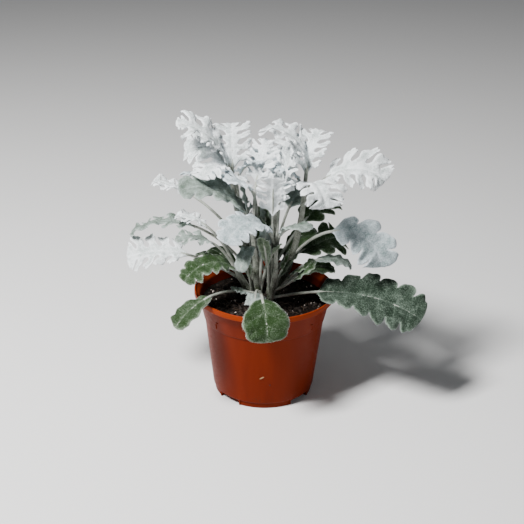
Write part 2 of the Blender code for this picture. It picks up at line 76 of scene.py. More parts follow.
def add_piece(name, data):
    piece = bpy.data.objects.new(name, data)
    bpy.context.scene.collection.objects.link(piece)
    return piece


def new_material(name, colour, roughness):
    """A plain material, with its node tree and the sockets of its shader."""
    material = bpy.data.materials.new(name)
    material.use_nodes = True
    sockets = material.node_tree.nodes["Principled BSDF"].inputs
    sockets["Base Color"].default_value = (*colour, 1.0)
    sockets["Roughness"].default_value = roughness
    return material, material.node_tree, sockets


camera_data = bpy.data.cameras.new("camera")
camera_data.lens = FOCAL_LENGTH
camera_data.sensor_width = SENSOR_WIDTH
camera_data.clip_start = CAMERA_NEAR
camera = add_piece("camera", camera_data)
camera_tilt = Matrix.Rotation(math.radians(90 - CAMERA_PITCH), 4, "X")
camera_roll = Matrix.Rotation(math.radians(CAMERA_ROLL), 4, "Z")
camera.matrix_world = Matrix.Translation(CAMERA_PLACE) @ camera_tilt @ camera_roll
bpy.context.scene.camera = camera
for lamp_name, lamp_form in LAMPS.items():
    lamp_data = bpy.data.lights.new(lamp_name, "AREA")
    lamp_data.shape = "SQUARE"
    lamp_data.size = lamp_form.width
    lamp_data.energy = lamp_form.power
    lamp_data.color = lamp_form.colour
    lamp = add_piece(lamp_name, lamp_data)
    lamp.location = lamp_form.place
    lamp_heading = Vector(LAMP_AIM) - Vector(lamp_form.place)
    lamp.rotation_euler = lamp_heading.to_track_quat("-Z", "Y").to_euler()
world = bpy.data.worlds.new("studio")
world.use_nodes = True
world.node_tree.nodes["Background"].inputs["Color"].default_value = STUDIO_TINT
world.node_tree.nodes["Background"].inputs["Strength"].default_value = STUDIO_STRENGTH
bpy.context.scene.world = world
floor_mesh = bpy.data.meshes.new("floor")
floor_corners = [(FLOOR_HALF * x, FLOOR_HALF * y, 0) for x, y in ((-1, -1), (1, -1), (1, 1), (-1, 1))]
floor_mesh.from_pydata(floor_corners, [], [(0, 1, 2, 3)])
floor_mesh.materials.append(new_material("pale_floor", FLOOR_GREY, 0.8)[0])
floor = add_piece("floor", floor_mesh)

# Pot.
# A thin pot of orange-brown polypropylene, injection moulded in one piece: a rolled lip, a
# flared collar that ends in a fine step, a tapered wall, and a low foot crossed by channels.
POT_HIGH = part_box("pot")[1]
POT_HEIGHT = POT_HIGH.z
RIM_RADIUS = POT_HIGH.x
WALL = 0.0012
LIP_HEIGHT = 0.0048
LIP_WIDTH = 0.0013
UNDER_LIP_RADIUS = 0.0562
COLLAR_RADIUS = 0.0518
COLLAR_Z = 0.0690
COLLAR_STEP = 0.0008
WAIST_RADIUS = 0.0484
WAIST_Z = 0.0450
WALL_FOOT_RADIUS = 0.0438
WALL_FOOT_Z = 0.0060
FOOT_RADIUS = 0.0423
FOOT_HEIGHT = 0.0050
SLOPE = 0.0005
CHANNEL_COUNT = 4
CHANNEL_TURN = 47.5
CHANNEL_WIDTH = 0.0206
CHANNEL_HEIGHT = 0.0040
CHANNEL_START = 0.0140
CHANNEL_EDGE = 0.0008
DRAIN_SIZE = (0.0070, 0.0070, 0.0100)
DRAIN_PLACE = 0.0290
ROUND_STEPS = 180
POT_SHARP_FROM = 40
HOOK_RADIUS = 0.0006
HOOK_ROUTE = ((0.0, 0.0716), (0.0, 0.0742), (0.0003, 0.0762), (0.0014, 0.0774), (0.0030, 0.0778))
HOOKS = ((-139, 1), (-41, -1), (41, 1), (139, -1))
PLASTIC_COLOUR = (0.19, 0.026, 0.005)
PLASTIC_SHADES = ((0.105, 0.0095, 0.0009), (0.135, 0.0130, 0.0013))
# A paler orange for the lip: painted light on its top.
LIP_PAINTED_LIGHT = (0.20, 0.024, 0.0030)
# Colour and half width of a dark line along the collar step: painted shade.
GROOVE_SHADE_COLOUR = (0.030, 0.004, 0.0008)
GROOVE_SHADE_HALF = 0.0004
# Colour of dark specks, and the middle of a patch of them at the front of the foot.
SPECK_COLOUR = (0.035, 0.018, 0.010)
FOOT_PATCH_PLACE = (-0.001, -0.044, 0.005)

# Radius, height and corner rounding of each point, from the floor of the pot over its lip
POT_INSIDE = [
    (0.0, WALL, 0), (FOOT_RADIUS - WALL, WALL, 0.0004), (FOOT_RADIUS - WALL, FOOT_HEIGHT, 0.0004),
    (WALL_FOOT_RADIUS - WALL, WALL_FOOT_Z + WALL, 0.001), (WAIST_RADIUS - WALL, WAIST_Z, 0),
    (COLLAR_RADIUS - COLLAR_STEP - WALL, COLLAR_Z, 0.0005),
    (UNDER_LIP_RADIUS - WALL, POT_HEIGHT - LIP_HEIGHT, 0.001),
    (RIM_RADIUS - LIP_WIDTH, POT_HEIGHT - WALL, 0.0008),
    (RIM_RADIUS - LIP_WIDTH, POT_HEIGHT, 0.0005),
]
POT_OUTSIDE = [
    (RIM_RADIUS, POT_HEIGHT, 0.0007), (RIM_RADIUS, POT_HEIGHT - LIP_HEIGHT, 0.0006),
    (UNDER_LIP_RADIUS, POT_HEIGHT - LIP_HEIGHT, 0.0008),
    (COLLAR_RADIUS, COLLAR_Z, 0.0004), (COLLAR_RADIUS - COLLAR_STEP, COLLAR_Z - SLOPE, 0.0002),
    (WAIST_RADIUS, WAIST_Z, 0.004), (WALL_FOOT_RADIUS, WALL_FOOT_Z, 0.001),
    (WALL_FOOT_RADIUS - SLOPE, FOOT_HEIGHT, 0.0003), (FOOT_RADIUS, FOOT_HEIGHT, 0.0002),
    (FOOT_RADIUS, 0.0, 0.0005), (0.0, 0.0, 0),
]


def rounded(points):
    """A path of (radius, height, corner) with each corner turned into a short arc."""
    path = []
    for number, (radius, height, corner) in enumerate(points):
        here = Vector((radius, height))
        if not corner:
            path.append(here)
            continue
        before = Vector(points[number - 1][:2]) - here
        after = Vector(points[number + 1][:2]) - here
        reach = min(corner, before.length * 0.45, after.length * 0.45)
        start, stop = here + before.normalized() * reach, here + after.normalized() * reach
        for share in (0, 0.25, 0.5, 0.75, 1):
            path.append(start.lerp(here, share).lerp(here.lerp(stop, share), share))
    return [(point.x, point.y) for point in path]


def ring_places(radius):
    """Places evenly round the axis, each one (x, y), or the one place on it."""
    if radius < 1e-6:
        return [(0, 0)]
    angles = [2 * math.pi * step / ROUND_STEPS for step in range(ROUND_STEPS)]
    return [(radius * math.cos(angle), radius * math.sin(angle)) for angle in angles]


def mesh_from(name, shape):
    """A new mesh of a shape, which is freed."""
    mesh = bpy.data.meshes.new(name)
    shape.to_mesh(mesh)
    shape.free()
    return mesh


def round_mesh(name, rings):
    """A closed body skinned over rings of places, the first of them one place on the axis."""
    shape = bmesh.new()
    rings = [[shape.verts.new(place) for place in ring] for ring in rings]
    for ring, following in zip(rings, rings[1:]):
        for step in range(ROUND_STEPS):
            after = step + 1
            corners = [ring[step % len(ring)], ring[after % len(ring)],
                       following[after % len(following)], following[step % len(following)]]
            shape.faces.new(list(dict.fromkeys(corners)))
    if len(rings[-1]) > 1:
        shape.faces.new(rings[-1])
    bmesh.ops.recalc_face_normals(shape, faces=shape.faces)
    return mesh_from(name, shape)


def block(name, size, place, turn, round_edge=0.0):
    """A block at a place, which is then turned round the pot's axis by degrees."""
    shape = bmesh.new()
    bmesh.ops.create_cube(shape, size=1.0)
    bmesh.ops.scale(shape, vec=size, verts=shape.verts)
    if round_edge:
        bmesh.ops.bevel(shape, geom=shape.edges[:], offset=round_edge, segments=3,
                        affect="EDGES", profile=0.5)
    bmesh.ops.translate(shape, vec=place, verts=shape.verts)
    bmesh.ops.rotate(shape, verts=shape.verts, cent=(0, 0, 0),
                     matrix=Matrix.Rotation(math.radians(turn), 3, "Z"))
    return add_piece(name, mesh_from(name, shape))


def apply_boolean(piece, others, operation):
    """Join or cut a piece with others, one after another, and remove them."""
    for other in others:
        cut = piece.modifiers.new(operation.lower(), "BOOLEAN")
        cut.operation = operation
        cut.object = other
    evaluated = piece.evaluated_get(bpy.context.evaluated_depsgraph_get())
    mesh = bpy.data.meshes.new_from_object(evaluated)
    piece.modifiers.clear()
    piece.data = mesh
    for other in others:
        bpy.data.objects.remove(other, do_unlink=True)


def smooth(mesh, sharp_from):
    """Smooth shading, but for edges that turn by more than an angle in degrees."""
    mesh.shade_smooth()
    mesh.set_sharp_from_angle(angle=math.radians(sharp_from))


def hook_mark(name, azimuth, flip):
    """A small raised hook in the collar that keeps stacked pots from jamming."""
    curve = bpy.data.curves.new(name, "CURVE")
    curve.dimensions = "3D"
    curve.bevel_depth = HOOK_RADIUS
    curve.bevel_resolution = 3
    curve.use_fill_caps = True
    spline = curve.splines.new("POLY")
    spline.points.add(len(HOOK_ROUTE) - 1)
    for point, (along, height) in zip(spline.points, HOOK_ROUTE):
        share = (height - COLLAR_Z) / (POT_HEIGHT - LIP_HEIGHT - COLLAR_Z)
        radius = COLLAR_RADIUS + (UNDER_LIP_RADIUS - COLLAR_RADIUS) * share
        angle = math.radians(azimuth) + flip * along / radius
        point.co = (radius * math.cos(angle), radius * math.sin(angle), height, 1.0)
    return add_piece(name, curve)


def link_noise(tree, scale, detail, stretch=None):
    """A noise texture in object space, stretched where its shares are given."""
    source = tree.nodes.new("ShaderNodeTexCoord").outputs["Object"]
    texture = tree.nodes.new("ShaderNodeTexNoise")
    texture.inputs["Scale"].default_value = scale
    texture.inputs["Detail"].default_value = detail
    if stretch:
        mapping = tree.nodes.new("ShaderNodeMapping")
        mapping.inputs["Scale"].default_value = stretch
        tree.links.new(source, mapping.inputs["Vector"])
        source = mapping.outputs["Vector"]
    tree.links.new(source, texture.inputs["Vector"])
    return texture.outputs["Fac"]


def link_range(tree, source, low, high, to_low=0.0, to_high=1.0):
    """A value mapped from one range to another, and kept inside it."""
    change = tree.nodes.new("ShaderNodeMapRange")
    limits = {"From Min": low, "From Max": high, "To Min": to_low, "To Max": to_high}
    for socket, value in limits.items():
        change.inputs[socket].default_value = value
    tree.links.new(source, change.inputs["Value"])
    return change.outputs["Result"]


def feed(tree, socket, value):
    """Link a socket to another one, or set it to a number or a colour."""
    if isinstance(value, bpy.types.NodeSocket):
        tree.links.new(value, socket)
    else:
        socket.default_value = (*value, 1.0) if isinstance(value, tuple) else value


def link_sum(tree, operation, *values):
    """The result of a sum, each value a number or a socket."""
    node = tree.nodes.new("ShaderNodeMath")
    node.operation = operation
    for socket, value in zip(node.inputs, values):
        feed(tree, socket, value)
    return node.outputs[0]


def link_mix(tree, share, first, second):
    """A colour between two others, each one a colour or a socket."""
    mix = tree.nodes.new("ShaderNodeMix")
    mix.data_type = "RGBA"
    feed(tree, mix.inputs["Factor"], share)
    feed(tree, mix.inputs[6], first)
    feed(tree, mix.inputs[7], second)
    return mix.outputs[2]


def link_bump(tree, height, strength, distance, normal=None):
    """A surface that seems raised by a height, over another bump where one is given."""
    bump = tree.nodes.new("ShaderNodeBump")
    bump.inputs["Strength"].default_value = strength
    bump.inputs["Distance"].default_value = distance
    tree.links.new(height, bump.inputs["Height"])
    if normal:
        tree.links.new(normal, bump.inputs["Normal"])
    return bump.outputs["Normal"]


def moulded_plastic():
    """Nearly matt orange-brown plastic: flow marks, painted light on the lip, painted shade along
    the collar step, and dark specks low down and in a patch at the front of the foot.
    """
    material, tree, sockets = new_material("moulded_plastic", PLASTIC_COLOUR, 0.40)
    flow = link_noise(tree, 60, 3, (1.0, 1.0, 0.12))
    colour = link_mix(tree, link_range(tree, flow, 0.35, 0.7), *PLASTIC_SHADES)
    position = tree.nodes.new("ShaderNodeNewGeometry").outputs["Position"]
    parts = tree.nodes.new("ShaderNodeSeparateXYZ")
    tree.links.new(position, parts.inputs[0])
    height = parts.outputs["Z"]
    # Painted light: the lip is painted a paler orange, as if lit from above.
    lip_light_share = link_range(tree, height, POT_HEIGHT - 0.0065, POT_HEIGHT - 0.0035)
    colour = link_mix(tree, lip_light_share, colour, LIP_PAINTED_LIGHT)
    # Painted shade: a dark line painted along the collar's step, where shade falls under it.
    groove_shade_band = link_sum(tree, "COMPARE", height, COLLAR_Z - GROOVE_SHADE_HALF, GROOVE_SHADE_HALF)
    groove_shade_share = link_range(tree, groove_shade_band, 0.0, 1.0, 0.0, 0.6)
    colour = link_mix(tree, groove_shade_share, colour, GROOVE_SHADE_COLOUR)
    # Dark specks, thicker towards the bottom and in a patch at the front of the foot.
    low_share = link_range(tree, height, 0.030, 0.004, 0.10, 1.0)
    foot_patch = tree.nodes.new("ShaderNodeVectorMath")
    foot_patch.operation = "DISTANCE"
    foot_patch.inputs[1].default_value = FOOT_PATCH_PLACE
    tree.links.new(position, foot_patch.inputs[0])
    foot_patch_share = link_range(tree, foot_patch.outputs["Value"], 0.016, 0.004, 0.0, 3.2)
    specks = link_range(tree, link_noise(tree, 900, 5), 0.58, 0.74, 0.0, 0.24)
    dirt_share = link_sum(tree, "MULTIPLY", specks, link_sum(tree, "ADD", low_share, foot_patch_share))
    tree.links.new(link_mix(tree, dirt_share, colour, SPECK_COLOUR), sockets["Base Color"])
    scuffs = link_noise(tree, 260, 6, (1.0, 1.0, 3.0))
    tree.links.new(link_range(tree, scuffs, 0.3, 0.75, 0.34, 0.52), sockets["Roughness"])
    grain = link_noise(tree, 1400, 2)
    tree.links.new(link_bump(tree, grain, 0.12, 0.0001), sockets["Normal"])
    sockets["Specular IOR Level"].default_value = 0.05
    return material


pot_rings = [[(x, y, height) for x, y in ring_places(radius)]
             for radius, height in rounded(POT_INSIDE + POT_OUTSIDE)]
pot = add_piece("moulded_pot", round_mesh("moulded_pot", pot_rings))
ridge_start = CHANNEL_START - WALL
ridge_stop = FOOT_RADIUS - WALL / 2
ridge_size = (ridge_stop - ridge_start, CHANNEL_WIDTH + 2 * WALL, CHANNEL_HEIGHT + WALL / 2)
ridge_place = ((ridge_stop + ridge_start) / 2, 0, (CHANNEL_HEIGHT + 3 * WALL / 2) / 2)
channel_size = (RIM_RADIUS - CHANNEL_START, CHANNEL_WIDTH, 2 * CHANNEL_HEIGHT)
channel_place = ((RIM_RADIUS + CHANNEL_START) / 2, 0, 0)
drain_place = (DRAIN_PLACE, 0, CHANNEL_HEIGHT)
ridges, cuts = [], []
for channel_number in range(CHANNEL_COUNT):
    channel_turn = CHANNEL_TURN + channel_number * 360 / CHANNEL_COUNT
    ridges.append(block(f"ridge_{channel_number}", ridge_size, ridge_place, channel_turn))
    cuts.append(block(f"channel_{channel_number}", channel_size, channel_place, channel_turn,
                      CHANNEL_EDGE))
    cuts.append(block(f"drain_{channel_number}", DRAIN_SIZE, drain_place, channel_turn))
apply_boolean(pot, ridges, "UNION")
apply_boolean(pot, cuts, "DIFFERENCE")
pot.data.materials.clear()
pot_finish = moulded_plastic()
pot.data.materials.append(pot_finish)
smooth(pot.data, POT_SHARP_FROM)
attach(pot, "root")
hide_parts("pot")
for mark_number, (mark_azimuth, mark_flip) in enumerate(HOOKS):
    mark = hook_mark(f"stacking_hook_{mark_number}", mark_azimuth, mark_flip)
    mark.data.materials.append(pot_finish)
    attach(mark, "root")

# Soil.
# Dark, loose peat and bark, filled to a finger's breadth below the lip and settled unevenly.
# Crumbs lie on it, with pale bits of perlite and short bark fibres among them.
SOIL_LOW, SOIL_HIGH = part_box("soil")
SOIL_Z = 0.0840
SOIL_GAP = 0.0003
SOIL_RINGS = 70
SOIL_LUMP = 0.00088
SOIL_NOISE = ((55, 1.0), (140, 0.5), (420, 0.30), (1100, 0.18))
SETTLED_DEPTH = 0.0012
SETTLED_FROM = 0.75
CRUMB_COUNT = 900
PERLITE_COUNT = 75
FIBRE_COUNT = 60
FIBRE_STEPS = 5
FIBRE_ARCH = 0.0004
FIBRE_SIDES = (0.5, 2.6, 4.7)


def wall_inside(height):
    """Radius of the pot's inside at a height in its upper half."""
    low = (COLLAR_RADIUS - COLLAR_STEP - WALL, COLLAR_Z)
    high = (UNDER_LIP_RADIUS - WALL, POT_HEIGHT - LIP_HEIGHT)
    return low[0] + (high[0] - low[0]) * (height - low[1]) / (high[1] - low[1])


def soil_height(x, y):
    """Height of the uneven soil, a little lower by the wall."""
    place = Vector((x, y, 0))
    lumps = sum(share * noise.noise(place * scale) for scale, share in SOIL_NOISE)
    outwards = math.hypot(x, y) / SOIL_HIGH.x
    settled = SETTLED_DEPTH * max(0.0, outwards - SETTLED_FROM) / (1 - SETTLED_FROM)
    return SOIL_Z + SOIL_LUMP * lumps - settled


def soil_rings():
    """Rings of the soil's uneven top, and of its plain sides that follow the pot's inside."""
    rings = []
    for number in range(SOIL_RINGS + 1):
        places = ring_places((wall_inside(SOIL_Z) - SOIL_GAP) * number / SOIL_RINGS)
        rings.append([(x, y, soil_height(x, y)) for x, y in places])
    for height, radius in ((COLLAR_Z, wall_inside(COLLAR_Z)), (WAIST_Z, WAIST_RADIUS - WALL),
                           (WALL_FOOT_Z + WALL, WALL_FOOT_RADIUS - WALL),
                           (SOIL_LOW.z, FOOT_RADIUS - WALL)):
        rings.append([(x, y, height) for x, y in ring_places(radius - SOIL_GAP)])
    return rings


def soil_spot(draw, clear=0.004):
    """A random place on the soil, even over its area and clear of the wall."""
    reach = wall_inside(SOIL_Z) - clear
    radius = reach * math.sqrt(draw.random())
    angle = draw.uniform(0, 2 * math.pi)
    x, y = radius * math.cos(angle), radius * math.sin(angle)
    return Vector((x, y, soil_height(x, y)))


def scattered_lumps(name, count, small, large, rough, seed):
    """Uneven grains strewn over the soil and pressed a little into it, most of them small."""
    draw = random.Random(seed)
    shape = bmesh.new()
    for _ in range(count):
        size = small + (large - small) * draw.random() ** 2.2
        place = soil_spot(draw) + Vector((0, 0, size * 0.25))
        grain = bmesh.ops.create_icosphere(shape, subdivisions=1, radius=1.0)["verts"]
        stretch = (draw.uniform(0.7, 1.3), draw.uniform(0.7, 1.3), draw.uniform(0.5, 0.9))
        turned = draw.uniform(0, 6.28)
        turn = Matrix.Rotation(turned, 3, Vector((draw.random(), draw.random(), 1)))
        for vertex in grain:
            jitter = 1 + rough * draw.uniform(-1, 1)
            spot = turn @ Vector([a * b for a, b in zip(vertex.co, stretch)])
            vertex.co = place + spot * size * jitter
    mesh = mesh_from(name, shape)
    mesh.shade_smooth()
    return mesh


def skin(sections, add_face):
    """Faces over a row of closed sections, with a flat end on both."""
    for low, high in zip(sections, sections[1:]):
        for step, corner in enumerate(low):
            after = (step + 1) % len(low)
            add_face((corner, low[after], high[after], high[step]))
    add_face(sections[0][::-1])
    add_face(sections[-1])


def fibres(name, count, seed):
    """Short bark fibres lying on the soil, each a slim bent three-sided rod."""
    draw = random.Random(seed)
    shape = bmesh.new()
    for _ in range(count):
        place = soil_spot(draw, 0.010)
        heading = draw.uniform(0, 6.28)
        bend = draw.uniform(-0.9, 0.9)
        length = draw.uniform(0.003, 0.009)
        width = draw.uniform(0.00018, 0.0004)
        sections = []
        for step in range(FIBRE_STEPS + 1):
            share = step / FIBRE_STEPS
            angle = heading + bend * share
            ahead = Vector((math.cos(angle), math.sin(angle), 0))
            side = Vector((-ahead.y, ahead.x, 0))
            middle = place + ahead * length * share
            arch = FIBRE_ARCH * math.sin(share * 3.1)
            middle.z = soil_height(middle.x, middle.y) + width + arch
            taper = width * (0.35 + 0.65 * math.sin(math.pi * (0.1 + 0.8 * share)))
            sections.append([shape.verts.new(middle + side * taper * math.cos(turn)
                                             + Vector((0, 0, taper * math.sin(turn))))
                             for turn in FIBRE_SIDES])
        skin(sections, shape.faces.new)
    bmesh.ops.recalc_face_normals(shape, faces=shape.faces)
    return mesh_from(name, shape)


def damp_peat():
    """Near-black peat with brown crumbs, duller on its high spots."""
    material, tree, sockets = new_material("damp_peat", (0.012, 0.009, 0.007), 0.85)
    coarse = link_noise(tree, 380, 6)
    share = link_range(tree, coarse, 0.42, 0.72)
    brown = link_mix(tree, share, (0.002, 0.0015, 0.0011), (0.014, 0.0085, 0.0055))
    speck = link_noise(tree, 1600, 3)
    speck_share = link_range(tree, speck, 0.66, 0.74, 0.0, 0.6)
    speckled = link_mix(tree, speck_share, brown, (0.07, 0.042, 0.027))
    tree.links.new(speckled, sockets["Base Color"])
    sockets["Specular IOR Level"].default_value = 0.12
    tree.links.new(link_range(tree, coarse, 0.3, 0.7, 0.6, 0.95), sockets["Roughness"])
    tree.links.new(link_bump(tree, speck, 0.9, 0.0006), sockets["Normal"])
    return material


def grain_material(name, dark, pale, roughness, scale):
    """Grains whose colour wanders between two shades."""
    material, tree, sockets = new_material(name, pale, roughness)
    share = link_range(tree, link_noise(tree, scale, 4), 0.35, 0.65)
    tree.links.new(link_mix(tree, share, dark, pale), sockets["Base Color"])
    pits = link_noise(tree, 3000, 3)
    tree.links.new(link_bump(tree, pits, 0.6, 0.0003), sockets["Normal"])
    return material


soil = add_piece("potting_soil", round_mesh("soil_body", soil_rings()))
soil.data.shade_smooth()
soil.data.materials.append(damp_peat())
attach(soil, "root")
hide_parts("soil")
soil_extras = (
    ("soil_crumbs", scattered_lumps("soil_crumbs", CRUMB_COUNT, 0.0005, 0.0020, 0.28, 5),
     grain_material("bark_crumbs", (0.003, 0.002, 0.0015), (0.030, 0.017, 0.010), 0.9, 700)),
    ("perlite", scattered_lumps("perlite", PERLITE_COUNT, 0.0005, 0.0014, 0.22, 8),
     grain_material("perlite", (0.40, 0.31, 0.27), (0.78, 0.70, 0.65), 0.8, 900)),
    ("bark_fibres", fibres("bark_fibres", FIBRE_COUNT, 11),
     grain_material("bark_fibres", (0.03, 0.018, 0.010), (0.12, 0.07, 0.042), 0.8, 500)),
)
for extra_name, extra_mesh, extra_material in soil_extras:
    extra = add_piece(extra_name, extra_mesh)
    extra_mesh.materials.append(extra_material)
    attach(extra, "root")

# Stuck crumbs.
# A pale chip of bark and a crumb of dark peat, each flat and uneven.
# Both have dried on to the front of the pot's wall.


def stuck_crumb(name, place, half_sizes, turn, material):
    """A flat uneven crumb on the wall, turned to one side by an angle in degrees."""
    shape = bmesh.new()
    bmesh.ops.create_icosphere(shape, subdivisions=3, radius=1.0)
    cosine, sine = math.cos(math.radians(turn)), math.sin(math.radians(turn))
    for vertex in shape.verts:
        bulge = 1 + 0.3 * noise.noise(vertex.co * 2.2 + Vector(place) * 900)
        x, y, z = (vertex.co[axis] * half_sizes[axis] * bulge for axis in range(3))
        vertex.co = Vector(place) + Vector((x * cosine - z * sine, y, x * sine + z * cosine))
    mesh = mesh_from(name, shape)
    mesh.shade_smooth()
    mesh.materials.append(material)
    crumb = add_piece(name, mesh)
    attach(crumb, "root")


stuck_crumb("bark_chip", (-0.0012, -0.0470, 0.0322), (0.0021, 0.0003, 0.0006), 27,
            grain_material("bark_chip", (0.17, 0.09, 0.035), (0.36, 0.21, 0.09), 0.7, 900))
stuck_crumb("peat_crumb", (0.0057, -0.0459, 0.0248), (0.0005, 0.0003, 0.0005), 0,
            grain_material("peat_crumb", (0.006, 0.003, 0.002), (0.020, 0.010, 0.006), 0.9, 900))

# Stems.
# Six round stems grow from the crown, thick and pale with felt, and taper to their young tips.
# They stand in the soil and carry the leaf stalks.
STEM_RING = 0.0090
STEM_RADIUS = 0.0032
STEM_TOP_RADIUS = 0.0021
STEM_DEPTH = 0.0170
STEM_STRAIGHT = 0.0020
STEM_POINTS = 9
STEM_PIECES = 6
STEM_SIDES = 20
RIB_COUNT = 5
RIB_DEPTH = 0.05
PLANT_SHARP_FROM = 70

Stem = namedtuple("Stem", "ring_angle lean lean_low lean_high length")
STEMS = {
    "shoot_right": Stem(0, -5, 24, 2, 0.098),
    "shoot_back_right": Stem(60, 70, 14, 8, 0.070),
    "shoot_back_left": Stem(120, 172, 16, 14, 0.092),
    "shoot_left": Stem(180, 182, 45, 20, 0.028),
    "shoot_front_left": Stem(240, 215, 8, 4, 0.058),
    "shoot_front_right": Stem(300, 300, 22, 8, 0.034),
}


def stem_path(stem):
    """Points up a stem, from the bottom of its hole to its top."""
    angle = math.radians(stem.ring_angle)
    foot = Vector((STEM_RING * math.cos(angle), STEM_RING * math.sin(angle), SOIL_Z))
    points = [foot - Vector((0, 0, STEM_DEPTH)), foot + Vector((0, 0, STEM_STRAIGHT))]
    azimuth = math.radians(stem.lean)
    step = stem.length / STEM_POINTS
    for number in range(STEM_POINTS):
        share = (number + 0.5) / STEM_POINTS
        lean = math.radians(stem.lean_low + (stem.lean_high - stem.lean_low) * share)
        sideways = math.sin(lean)
        ahead = Vector((sideways * math.cos(azimuth), sideways * math.sin(azimuth), math.cos(lean)))
        points.append(points[-1] + ahead * step)
    return points


def stem_point(stem, up):
    """The point on a stem's axis at a share of its length above the soil."""
    points = stem_path(stem)[1:]
    place = min(up, 0.999) * (len(points) - 1)
    low = int(place)
    return points[low].lerp(points[low + 1], place - low)


class PlantMesh:
    """Collects the vertices, faces, finishes and felt values of one leafy stem."""

    VALUES = ("edge", "vein", "under", "shade")

    def __init__(self):
        self.points = []
        self.faces = []
        self.finish = []
        self.values = []

    def add(self, point, edge=0.0, vein=0.0, under=0.0, shade=0.0):
        self.points.append(tuple(point))
        self.values.append((edge, vein, under, shade))
        return len(self.points) - 1

    def face(self, corners, finish):
        self.faces.append(tuple(corners))
        self.finish.append(finish)

    def mesh(self, name, materials):
        mesh = bpy.data.meshes.new(name)
        mesh.from_pydata(self.points, [], self.faces)
        for material in materials:
            mesh.materials.append(material)
        mesh.polygons.foreach_set("material_index", self.finish)
        values = np.array(self.values, dtype=np.float32)
        for column, value_name in enumerate(self.VALUES):
            layer = mesh.attributes.new(value_name, "FLOAT", "POINT")
            layer.data.foreach_set("value", np.ascontiguousarray(values[:, column]))
        mesh.validate()
        smooth(mesh, PLANT_SHARP_FROM)
        return mesh


def add_stem(plant, stem, finish):
    """A stem with shallow ribs, thicker low down, and with a round young tip."""
    points = stem_path(stem)
    last = len(points) - 1
    sections = []
    for number in range(last * STEM_PIECES + 1):
        spot = number / STEM_PIECES
        low = min(int(spot), last - 1)
        middle = points[low].lerp(points[low + 1], spot - low)
        ahead = (points[low + 1] - points[low]).normalized()
        side = ahead.cross(Vector((0, 1, 0.01))).normalized()
        other = ahead.cross(side)
        share = max(0.0, spot - 1) / (last - 1)
        radius = STEM_RADIUS + (STEM_TOP_RADIUS - STEM_RADIUS) * share
        radius *= min(1.0, 0.25 + 1.6 * math.sqrt((last - spot) / 1.2))
        section = []
        for step in range(STEM_SIDES):
            angle = 2 * math.pi * step / STEM_SIDES
            rib = 1 + RIB_DEPTH * math.cos(RIB_COUNT * angle + spot)
            rib += 0.04 * noise.noise(middle * 300)
            place = middle + (side * math.cos(angle) + other * math.sin(angle)) * radius * rib
            # The shade value rises towards the stem's foot, thinning and darkening its felt there:
            # partly sparser old felt, partly painted shade.
            section.append(plant.add(place, shade=1 - share))
        sections.append(section)
    skin(sections, lambda corners: plant.face(corners, finish))


# Leaves.
# Each leaf is a thin felted blade on a keeled stalk. Old leaves low down are smooth and green,
# the next are large with a waved edge, and the young ones are deeply lobed and near white.
BLADE_THICKNESS = 0.0007
PETIOLE_HALF = 0.0015
PETIOLE_KEEL = 0.0019
MIDRIB_HALF = 0.0008
MIDRIB_KEEL = 0.0011
STALK_SIDES = 10
STALK_STEP = 0.0022
STALK_CLOSE = 0.012
DROOP_POWER = 1.6
VEIN_DEPTH = 0.00060
VEIN_WIDTH = 0.0007
MIDRIB_WIDTH = 0.0011
VEIN_LEAN = 0.5
ARCH_HEIGHT = 0.0006
RUFFLE_TURNS = 420
RUFFLE_SLOWER = 0.43
RUMPLE_SCALE = 240
RUMPLE_HEIGHT = 0.00090
RUMPLE_FINER = 3.1
FINE_RUMPLE_HEIGHT = 0.00034
EDGE_CURL = 0.0011
EDGE_CURL_WIDTH = 0.0012
EDGE_ROUND = 0.0006
LOBE_UNEVEN = 0.10
GRID = 0.0014
GRID_CLEAR = 0.45
HAIR_HALF = 0.00007
HAIR_LENGTHS = (0.0004, 0.0011)
HAIRS_TO_AN_EDGE = 2

Leaf = namedtuple("Leaf", "kind up azimuth rise droop sweep stalk blade half roll tone")

